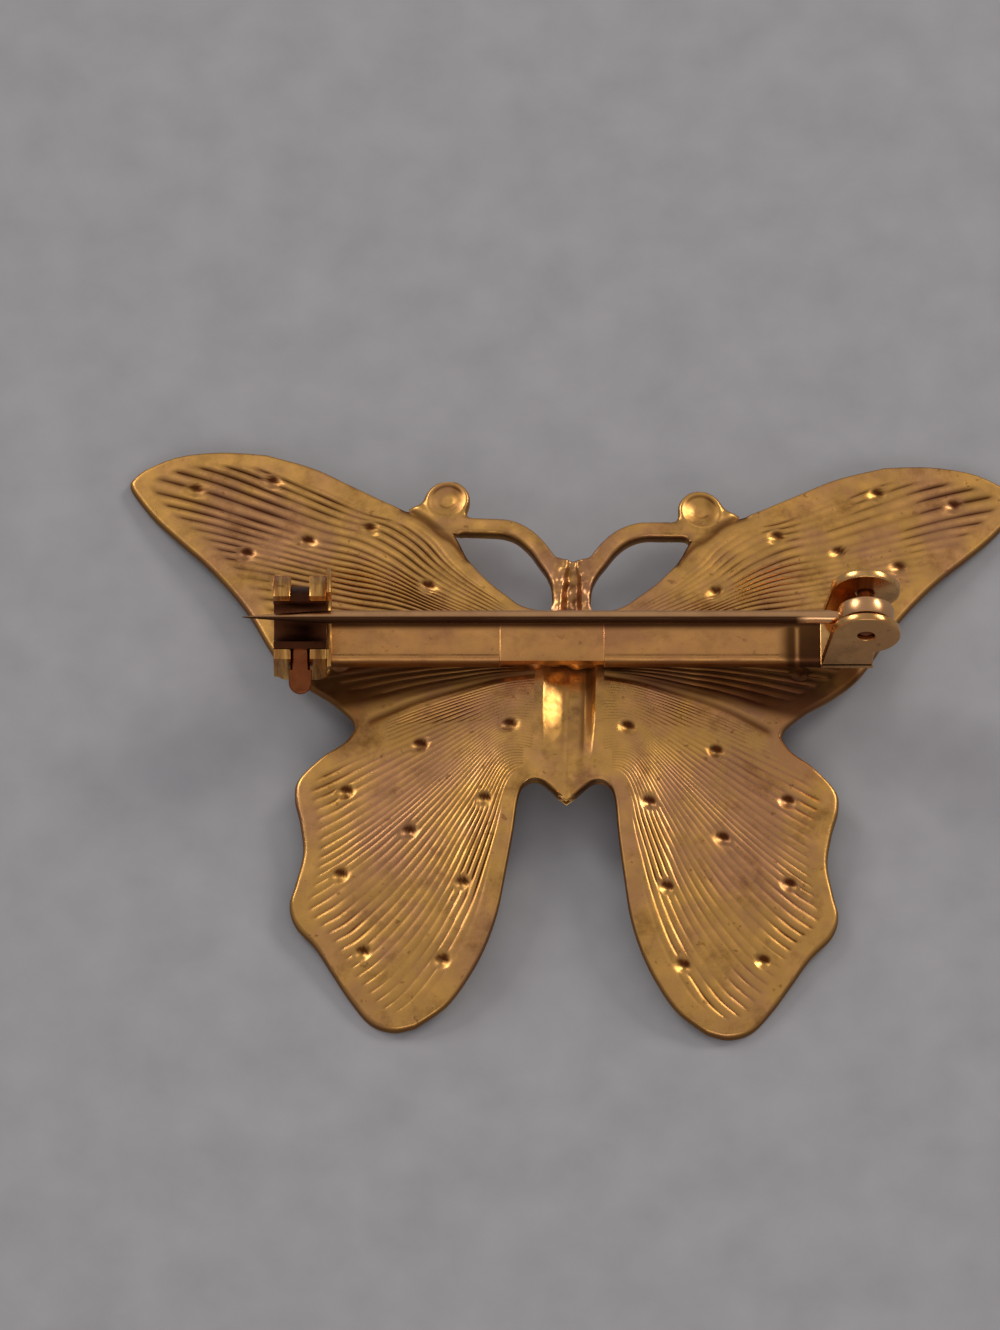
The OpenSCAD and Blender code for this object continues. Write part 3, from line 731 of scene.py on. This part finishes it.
def solder_part():
    """Solder between the sheet and the pad, a little lumpy and drawn in at its sides."""
    steps, squareness = 28, 0.6
    a = np.radians(np.linspace(0, 360, steps, endpoint=False))
    across = np.sign(np.cos(a)) * np.abs(np.cos(a)) ** squareness
    up = np.sign(np.sin(a)) * np.abs(np.sin(a)) ** squareness
    sections = []
    for x in np.linspace(PAD_X[0] + 0.1, PAD_X[1] - 0.1, 40):
        swell = 1.0 + 0.10 * math.sin(x * 2.3) + 0.05 * math.sin(x * 5.1)
        half = (BAR_W / 2 - 0.15) * swell
        sections.append(np.column_stack([np.full(steps, x), BAR_Y + half * across,
                                         BAR_TOP - BAR_T - SOLDER_T + 0.62 * up]))
    return loft(sections)


def bar_section():
    """The bar's section beside its pad: flat along the middle, then turned down in a round."""
    w, wall = BAR_W / 2, 0.4
    bend = [(BAR_FLAT + (w - BAR_FLAT) * math.sin(t), -0.42 * (1 - math.cos(t)))
            for t in np.radians(np.linspace(0, 90, 9))]
    right = bend + [(w, -EDGE_DROP), (w - wall, -EDGE_DROP), (w - wall, -0.62), (BAR_FLAT - 0.1, -BAR_T)]
    left = [(-x, z) for x, z in reversed(right)]
    top = [(x, 0.0) for x in np.linspace(-BAR_FLAT, BAR_FLAT, 24)[1:-1]]
    return np.array(right + left + top)


def bar_part():
    """Two spans with rows of points along and across, which carry the marks of painted shade, and the flat pad."""
    outline, spans = bar_section(), []
    for a, b in ((BAR_X[0], PAD_X[0] + 0.05), (PAD_X[1] - 0.05, BAR_X[1])):
        rows = [np.column_stack([np.full(len(outline), x), outline + [BAR_Y, BAR_TOP]])
                for x in np.linspace(a, b, SPAN_ROWS)]
        points, faces = loft(rows)
        spans.append((points, [face[::-1] for face in faces]))
    w = BAR_W / 2
    top = [(off, PAD_H) for off in np.linspace(1.3, 0.4, 12)]
    pad = plate([[(-w, -BAR_T), (w, -BAR_T), (w, PAD_H)] + top + [(-w, PAD_H)]], *PAD_X, 0.06)
    return join(spans + [along_x(pad, BAR_Y, BAR_TOP)])


def c_outline(outer, inside):
    """A C that is open towards the tails and stands on the bar, from its outer and inner radius."""
    upper = math.degrees(math.acos(LIP_Y / outer))
    upper_in = math.degrees(math.acos(LIP_Y / inside))
    if outer > BAND_R:
        turn = math.degrees(math.asin(BAND_R / outer))
        rim = np.concatenate([ring(outer, LOWER_LIP, 180 + turn, 24), ring(outer, -turn, upper, 48)])
    else:
        lip = (-outer, outer * math.tan(math.radians(180 - LOWER_LIP)))
        rim = np.concatenate([[lip, (-outer, -outer), (outer, -outer)], ring(outer, 0, upper, 40)])
    return np.concatenate([rim, ring(inside, upper_in, LOWER_LIP - 360, 60)])


def round_plate(left, right, near, far, low, high, corner=0.8):
    """A level plate whose corners at the tails' side are round."""
    outline = np.concatenate([ring(corner, 180, 270, 12, left + corner, near + corner),
                              ring(corner, 270, 360, 12, right - corner, near + corner),
                              [(right, far), (left, far)]])
    return plate([outline], low, high, 0.1)


def catch_part():
    """The catch's two C bands, the flange beside them and the base under them."""
    x = BAR_X[0]
    flange_x = x + 2 * BAND_W + BAND_GAP
    parts = []
    for outer, start, wide, bevel in ((BAND_R, x, BAND_W, 0.09), (BAND_R, x + BAND_W + BAND_GAP, BAND_W, 0.09),
                                      (FLANGE_R, flange_x, FLANGE_T, 0.05)):
        parts.append(along_x(plate([c_outline(outer, BORE_R)], start, start + wide, bevel), BAR_Y, CATCH_Z))
    parts.append(round_plate(x, flange_x + FLANGE_T, BAR_Y - BAND_R, BAR_Y + BAND_R, BAR_TOP - BAR_T,
                             BAR_TOP + BASE_H))
    return join(parts)


def ear_part(y):
    """An ear: a round top on a post, with the rivet's hole."""
    high = HINGE_Z - BAR_TOP + BAR_T / 2
    inset = BAR_X[1] - HINGE_X
    deg = math.degrees(math.acos(inset / EAR_R))
    outline = np.concatenate([ring(EAR_R, -deg, 180, 60), [(-EAR_R - FOOT_OUT, -high), (inset, -high)]])
    hole = ring(RIVET_R + 0.02, 0, 360, 36)
    return along_y(plate([outline, hole], y, y + EAR_T, 0.09), HINGE_X, HINGE_Z)


def ears_part():
    """The hinge's two ears and the base between them."""
    w = (EAR_SPACE + 2 * EAR_T) / 2
    base = plate([[(-w, -BAR_T), (w, -BAR_T), (w, EARS_BASE_H), (-w, EARS_BASE_H)]],
                 HINGE_X - EAR_R - FOOT_OUT, BAR_X[1] + 0.01, 0.07)
    return join([ear_part(BAR_Y - EAR_SPACE / 2 - EAR_T), ear_part(BAR_Y + EAR_SPACE / 2),
                 along_x(base, BAR_Y, BAR_TOP)])


def sleeve_part():
    """The catch's turning sleeve, open like its bands."""
    x, wide = BAR_X[0], 2 * BAND_W + BAND_GAP
    inside = ROTOR_R - ROTOR_WALL
    upper, upper_in = (math.degrees(math.acos(LIP_Y / r)) for r in (ROTOR_R, inside))
    loop = np.concatenate([ring(ROTOR_R, LOWER_LIP - 360, upper, 60), ring(inside, upper_in, LOWER_LIP - 360, 60)])
    return along_x(plate([loop], x, x + wide, 0.06), BAR_Y, CATCH_Z)


def lever_part():
    """The lever: an arm in the gap between the bands and a thumb plate with a rounded end."""
    mid = BAR_X[0] + BAND_W + BAND_GAP / 2
    low = math.radians(LEVER_LOW)
    c, s = math.cos(low), math.sin(low)
    arm_w, thumb_w = BAND_GAP / 2 - 0.08, THUMB_W / 2
    thumb_from = (BAND_R + LEVER_T / 2 * s) / c + 0.12
    inner_end = ROTOR_R - ROTOR_WALL / 2
    end = ring(thumb_w, 180, 360, 20, 0, -(LEVER_REACH - thumb_w))
    outline = np.concatenate([end, [(thumb_w, -thumb_from), (arm_w, -thumb_from), (arm_w, -inner_end),
                                    (-arm_w, -inner_end), (-arm_w, -thumb_from), (-thumb_w, -thumb_from)]])
    p, f = plate([outline], -LEVER_T / 2, LEVER_T / 2, 0.1)
    return np.column_stack([p[:, 0] + mid, BAR_Y + p[:, 1] * c - p[:, 2] * s,
                            CATCH_Z + p[:, 1] * s + p[:, 2] * c]), f


def stem_part():
    """The wire: a thicker root at the eye, a straight shank and a long point."""
    stops = [(HINGE_X - 1.0, ROOT_R), (ROOT_X + 0.25, ROOT_R), (ROOT_X - 0.15, 0.41), (ROOT_X - 0.5, STEM_R)]
    stops += [(x, STEM_R) for x in np.linspace(ROOT_X - 1, TAPER_X, 40)]
    for t in np.linspace(0.05, 1, 20):
        stops.append((TAPER_X + (POINT_X - TAPER_X) * t, STEM_R * (1 - t) ** 0.8 + 0.02))
    steps = 24
    a = np.radians(np.arange(steps) * 360 / steps)
    wire = loft([np.column_stack([np.full(steps, x), STEM_Y + r * np.cos(a), HINGE_Z + r * np.sin(a)])
                 for x, r in stops])
    hole, w = RIVET_R + 0.05, EYE_W / 2
    upper = [(EYE_R, w - 0.16), (EYE_R - 0.04, w - 0.05), (EYE_R - 0.14, w), (hole + 0.06, w), (hole, w - 0.06)]
    lower = [(r, -z) for r, z in reversed(upper)]
    points, faces = lathe(lower + upper + lower[:1], 64)
    return join([wire, along_y((points, faces[:-2]), HINGE_X, HINGE_Z, STEM_Y)])


def wire_painted_shade(points):
    """Painted shade along the side of the wire that looks at the bar and the tails, and a painted highlight on the
    rest of it.
    """
    up = ((points[:, 1] - STEM_Y) * PICTURE_UP[0] + (points[:, 2] - HINGE_Z) * PICTURE_UP[1]) / STEM_R
    dark = fall(points[:, 0], ROOT_X - 1, 0.5) * fall(up, 0.2, 0.2)
    return {"dark": dark, "worn": 1 - dark}


def bar_painted_shade(points):
    """Painted shade along the turned-down long edges of the bar, most of all under the wire, and over its end by
    the hinge, broken by a painted highlight streak.
    """
    off = points[:, 1] - BAR_Y
    x = points[:, 0]
    beside_pad = (x < PAD_X[0] + 0.04) | (x > PAD_X[1] - 0.04)
    dark = np.maximum(rise(off, 0.5, 0.5), beside_pad * 0.7 * rise(-off, 1.25, 0.15))
    # Painted shade over the bar's end by the hinge, broken by a painted highlight streak
    streak = bell(x - STREAK_X, 0.1)
    dark = np.maximum(dark, 0.93 * rise(x, DARK_END_X, 1.0) * (1 - 0.8 * streak))
    return {"dark": dark, "worn": 0 * dark}


def rivet_part():
    """The rivet, with a shallow hollow in each end."""
    reach = (EAR_SPACE + 2 * EAR_T) / 2 - 0.3
    upper = [(RIVET_R, reach - 0.06), (0.46, reach), (0.38, reach), (0.25, reach - 0.1), (0.001, reach - 0.12)]
    lower = [(r, -z) for r, z in reversed(upper)]
    return along_y(lathe(lower + upper, 36), HINGE_X, HINGE_Z, BAR_Y)


def gold(name, light, mid, brown, gloss, tarnish, grain=0.1, marks=False, streaks=None):
    """Worn gold-tone plate: patches of light and mid, brown tarnish, fine bumps, and a range of roughness.

    marks adds the mesh's own marks: its dark mark holds tarnish and painted shade, its other mark wear and painted
    highlights; streaks stretches the patches into painted highlight streaks.
    """
    material = bpy.data.materials.new(name)
    material.use_nodes = True
    nodes, links = material.node_tree.nodes, material.node_tree.links
    shader = nodes["Principled BSDF"]
    shader.inputs["Metallic"].default_value = 1.0
    place = nodes.new("ShaderNodeTexCoord").outputs["Object"]

    def noise_of(scale, detail=3.0, roughness=0.6, stretch=None):
        source = place
        if stretch:
            mapping = nodes.new("ShaderNodeMapping")
            mapping.inputs["Scale"].default_value = stretch
            links.new(place, mapping.inputs["Vector"])
            source = mapping.outputs["Vector"]
        node = nodes.new("ShaderNodeTexNoise")
        node.inputs["Scale"].default_value = scale
        node.inputs["Detail"].default_value = detail
        node.inputs["Roughness"].default_value = roughness
        links.new(source, node.inputs["Vector"])
        return node.outputs["Fac"]

    def ramp(source, stops):
        node = nodes.new("ShaderNodeValToRGB")
        node.color_ramp.elements[0].position, node.color_ramp.elements[0].color = stops[0][0], (*stops[0][1], 1)
        node.color_ramp.elements[1].position, node.color_ramp.elements[1].color = stops[-1][0], (*stops[-1][1], 1)
        for at, colour in stops[1:-1]:
            node.color_ramp.elements.new(at).color = (*colour, 1)
        links.new(source, node.inputs["Fac"])
        return node.outputs["Color"]

    def mix(factor, a, b):
        node = nodes.new("ShaderNodeMix")
        node.data_type = "RGBA"
        # A Mix node of colours takes its factor at 0 and its colours at 6 and 7
        for socket, value in ((node.inputs[0], factor), (node.inputs[6], a), (node.inputs[7], b)):
            if isinstance(value, (tuple, float)):
                socket.default_value = (*value, 1) if isinstance(value, tuple) else value
            else:
                links.new(value, socket)
        return node.outputs[2]

    def math_of(kind, a, b):
        node = nodes.new("ShaderNodeMath")
        node.operation = kind
        node.use_clamp = True
        for socket, value in ((node.inputs[0], a), (node.inputs[1], b)):
            if isinstance(value, float):
                socket.default_value = value
            else:
                links.new(value, socket)
        return node.outputs[0]

    def mark(key):
        node = nodes.new("ShaderNodeAttribute")
        node.attribute_name = key
        return node.outputs["Fac"]

    patches = noise_of(300 if streaks else 120, 5.0, 0.62, streaks)
    colour = ramp(patches, [(0.36, mid), (0.5, light), (0.62, mid)])
    stains = ramp(noise_of(420, 5.0, 0.7, streaks), [(0.50, (0, 0, 0)), (0.68, (1, 1, 1))])
    specks = ramp(noise_of(1500, 2.0), [(0.66, (0, 0, 0)), (0.72, (1, 1, 1))])
    dirt_and_shade = math_of("MULTIPLY", stains, tarnish)
    dirt_and_shade = math_of("MAXIMUM", dirt_and_shade, math_of("MULTIPLY", specks, tarnish))
    if marks:
        # The mesh's dark mark adds tarnish and painted shade, its other mark wear and painted highlights
        dirt_and_shade = math_of("MAXIMUM", dirt_and_shade, math_of("MULTIPLY", mark("dark"), 0.96))
        colour = mix(math_of("MULTIPLY", mark("worn"), 0.6), colour, light)
    colour = mix(dirt_and_shade, colour, brown)
    links.new(colour, shader.inputs["Base Color"])
    roughness = ramp(noise_of(600, 4.0), [(0.35, (gloss[0],) * 3), (0.7, (gloss[1],) * 3)])
    rough_sum = math_of("ADD", roughness, math_of("MULTIPLY", dirt_and_shade, 0.25))
    links.new(rough_sum, shader.inputs["Roughness"])
    bump = nodes.new("ShaderNodeBump")
    bump.inputs["Strength"].default_value = grain
    bump.inputs["Distance"].default_value = 0.00004
    links.new(noise_of(2600, 4.0, 0.65), bump.inputs["Height"])
    links.new(bump.outputs["Normal"], shader.inputs["Normal"])
    return material


sheet_gold = gold("stamped_gold", (0.71, 0.385, 0.105), (0.56, 0.275, 0.135), (0.075, 0.014, 0.004),
                  (0.22, 0.42), 0.5, grain=0.15, marks=True)
bar_gold = gold("bar_gold", (0.74, 0.37, 0.12), (0.58, 0.27, 0.11), (0.035, 0.009, 0.003),
                (0.22, 0.38), 0.3, grain=0.08, marks=True)
# A near-black copy of the brass for the sleeve: painted shade inside the catch
shaded_sleeve_gold = gold("shaded_sleeve_gold", (0.09, 0.03, 0.012), (0.05, 0.016, 0.008), (0.02, 0.008, 0.005),
                   (0.25, 0.5), 0.4)
# The catch's stretched light patches are painted highlight streaks on its bands
catch_gold = gold("catch_gold", (0.84, 0.47, 0.13), (0.44, 0.19, 0.055), (0.07, 0.018, 0.006),
                  (0.22, 0.4), 0.7, streaks=(3.5, 0.35, 0.35))
# A lighter copy of the brass for the hinge: painted light
lit_hinge_gold = gold("lit_hinge_gold", (0.78, 0.44, 0.16), (0.60, 0.31, 0.11), (0.09, 0.03, 0.012),
                  (0.15, 0.3), 0.35, grain=0.08)
# A dark reddish copy of the brass for the lever: painted shade
shaded_lever_gold = gold("shaded_lever_gold", (0.30, 0.09, 0.03), (0.19, 0.05, 0.018), (0.06, 0.016, 0.008),
                  (0.2, 0.4), 0.4)
wire_gold = gold("wire_gold", (0.70, 0.39, 0.18), (0.55, 0.28, 0.13), (0.03, 0.009, 0.004),
                 (0.18, 0.32), 0.2, grain=0.06, marks=True)
rivet_gold = gold("rivet_gold", (0.30, 0.13, 0.06), (0.18, 0.07, 0.035), (0.05, 0.02, 0.01),
                  (0.3, 0.5), 0.5)

for side, side_name, seed in ((-1, "left", LEFT_SEED), (1, "right", RIGHT_SEED)):
    wing = wing_piece("wings_" + side_name, side, sheet_gold, seed)
    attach(wing, "brooch")
    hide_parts("butterfly")

body = stamping_piece("body_and_antennae", sheet_gold)
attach(body, "brooch")
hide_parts("butterfly")

# Name, what makes it, material, body, node, slot, and the marks that its mesh carries
pin_parts = (("solder", solder_part, bar_gold, "brooch", "butterfly", "stamped_brass", None),
             ("pin_bar", bar_part, bar_gold, "brooch", "butterfly", "stamped_brass", bar_painted_shade),
             ("catch_bands", catch_part, catch_gold, "brooch", "butterfly", "stamped_brass", None),
             ("hinge_ears", ears_part, lit_hinge_gold, "brooch", "butterfly", "stamped_brass", None),
             ("catch_sleeve", sleeve_part, shaded_sleeve_gold, "rotor", "catch_rotor", "sleeve_brass", None),
             ("catch_lever", lever_part, shaded_lever_gold, "rotor", "catch_rotor", "sleeve_brass", None),
             ("pin_wire", stem_part, wire_gold, "stem", "pin_stem", "wire_brass", wire_painted_shade),
             ("rivet", rivet_part, rivet_gold, "brooch", "hinge_rivet", "rivet_brass", None))
for name, make, material, rides, node, slot, marks_of in pin_parts:
    points, faces = make()
    piece = mesh_piece(name, pin_row(points), faces, material, values=marks_of(points) if marks_of else None)
    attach(piece, rides)
    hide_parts(node)


def floor_material():
    """Pale matt grey with faint clouds."""
    material = bpy.data.materials.new("pale_floor")
    material.use_nodes = True
    nodes, links = material.node_tree.nodes, material.node_tree.links
    shader = nodes["Principled BSDF"]
    shader.inputs["Roughness"].default_value = 0.8
    place = nodes.new("ShaderNodeTexCoord").outputs["Object"]
    texture = nodes.new("ShaderNodeTexNoise")
    texture.inputs["Scale"].default_value = 260
    texture.inputs["Detail"].default_value = 4
    links.new(place, texture.inputs["Vector"])
    ramp = nodes.new("ShaderNodeValToRGB")
    ramp.color_ramp.elements[0].position, ramp.color_ramp.elements[0].color = 0.3, (0.35, 0.35, 0.375, 1)
    ramp.color_ramp.elements[1].position, ramp.color_ramp.elements[1].color = 0.7, (0.40, 0.40, 0.425, 1)
    links.new(texture.outputs["Fac"], ramp.inputs["Fac"])
    links.new(ramp.outputs["Color"], shader.inputs["Base Color"])
    return material


# From here on in metres
FLOOR_REACH = 1.5
FLOOR_GAP = 0.00002
floor_mesh = bpy.data.meshes.new("floor")
floor_mesh.from_pydata([(-FLOOR_REACH, -FLOOR_REACH, 0), (FLOOR_REACH, -FLOOR_REACH, 0),
                        (FLOOR_REACH, FLOOR_REACH, 0), (-FLOOR_REACH, FLOOR_REACH, 0)], [], [(0, 1, 2, 3)])
floor_mesh.materials.append(floor_material())
floor = bpy.data.objects.new("floor", floor_mesh)
floor.location.z = -FLOOR_GAP
bpy.context.collection.objects.link(floor)

ELEVATION = math.radians(61)
AIM = Vector((-4.58, 4.68, 2.0)) * MM
AWAY = 0.9
PHOTO_WIDTH_PX = 1000
PX_PER_MM = 16.4
VIEW_WIDTH = PHOTO_WIDTH_PX / PX_PER_MM * MM
SENSOR_W = 36
camera_data = bpy.data.cameras.new("camera")
camera_data.sensor_fit = "HORIZONTAL"
camera_data.sensor_width = SENSOR_W
camera_data.lens = SENSOR_W * AWAY / VIEW_WIDTH
camera_data.clip_start = 0.01
camera_data.clip_end = 10
camera = bpy.data.objects.new("camera", camera_data)
camera.location = AIM + Vector((0, -math.cos(ELEVATION), math.sin(ELEVATION))) * AWAY
camera.rotation_euler = (math.pi / 2 - ELEVATION, 0, 0)
bpy.context.collection.objects.link(camera)
bpy.context.scene.camera = camera


def soft_box(name, place, size, power, colour):
    """An area light that looks at the part."""
    data = bpy.data.lights.new(name, "AREA")
    data.shape = "RECTANGLE"
    data.size, data.size_y = size
    data.energy = power
    data.color = colour
    light = bpy.data.objects.new(name, data)
    light.location = place
    light.rotation_euler = Vector(place).to_track_quat("Z", "Y").to_euler()
    bpy.context.collection.objects.link(light)


# Place and size in metres, power in watts, colour
soft_box("ceiling", (0.0, 0.5, 1.0), (2.3, 2.5), 2.75, (1.0, 0.95, 0.93))
soft_box("front", (0.1, -0.9, 0.7), (0.9, 0.5), 2.3, (1.0, 0.94, 0.9))
soft_box("window", (-0.75, 0.72, 0.72), (0.4, 0.5), 3.6, (1.0, 0.97, 0.9))
soft_box("lamp", (0.75, 0.62, 0.62), (0.4, 0.3), 3.4, (1.0, 0.93, 0.8))

world = bpy.data.worlds.new("studio")
world.use_nodes = True
world.node_tree.nodes["Background"].inputs["Color"].default_value = (1.0, 0.96, 0.98, 1)
world.node_tree.nodes["Background"].inputs["Strength"].default_value = 0.29
bpy.context.scene.world = world
bpy.context.scene.view_settings.view_transform = "Standard"
